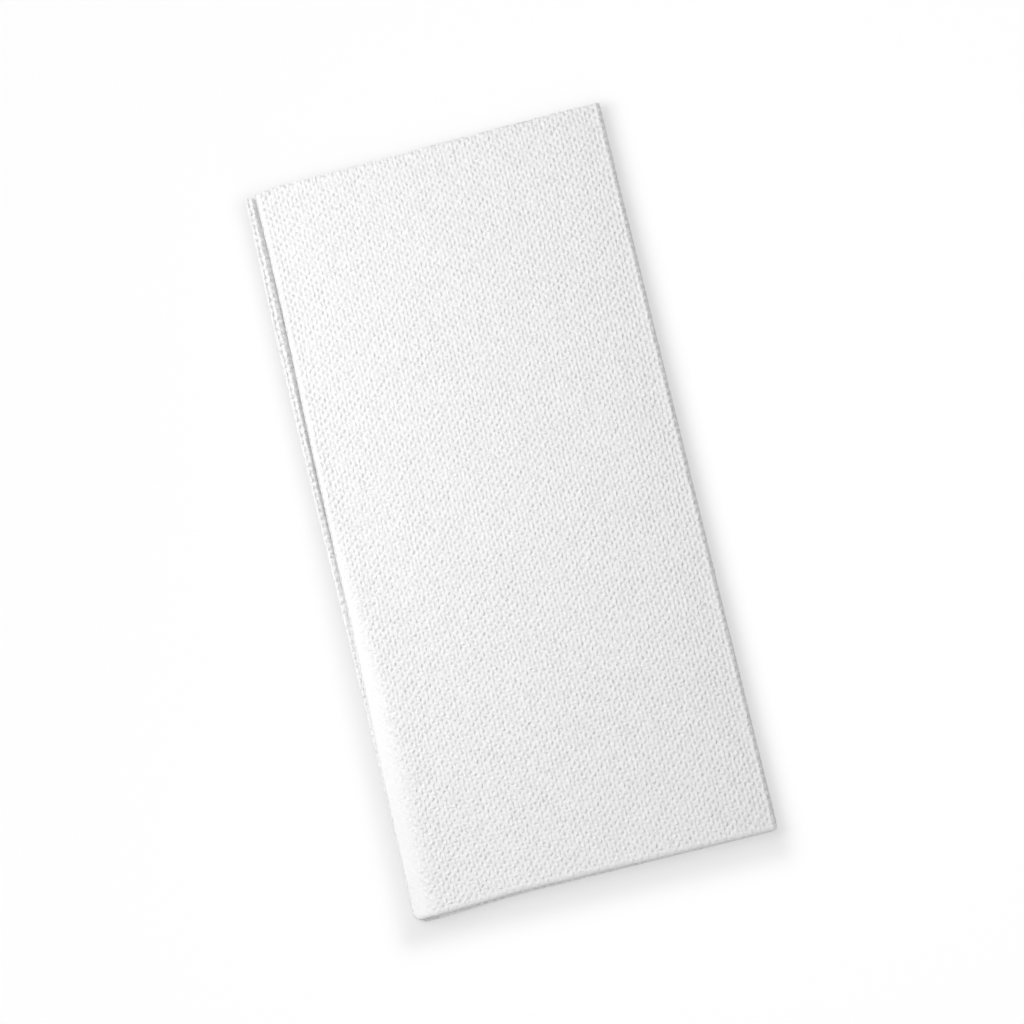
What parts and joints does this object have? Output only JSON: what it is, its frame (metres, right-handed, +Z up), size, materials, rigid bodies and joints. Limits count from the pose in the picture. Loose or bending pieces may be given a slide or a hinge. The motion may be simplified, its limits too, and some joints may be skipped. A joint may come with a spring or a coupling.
{
  "type": "paper napkin",
  "caption": "Paper napkin folded into a slim flat pack, closed along one long side and one short end, with loops on the other long side and cut edges at the open end.",
  "frame": {"origin": "centre of the pack's underside, at the level of the surface that it lies on", "axes": "+X across the pack to the long closed fold, +Y along it to the open end, +Z up"},
  "size_m": [0.1, 0.2, 0.0044],
  "materials": {
    "paper": "soft matte, finely embossed"
  },
  "bodies": {
    "root": {"napkin": "paper"}
  },
  "joints": []
}
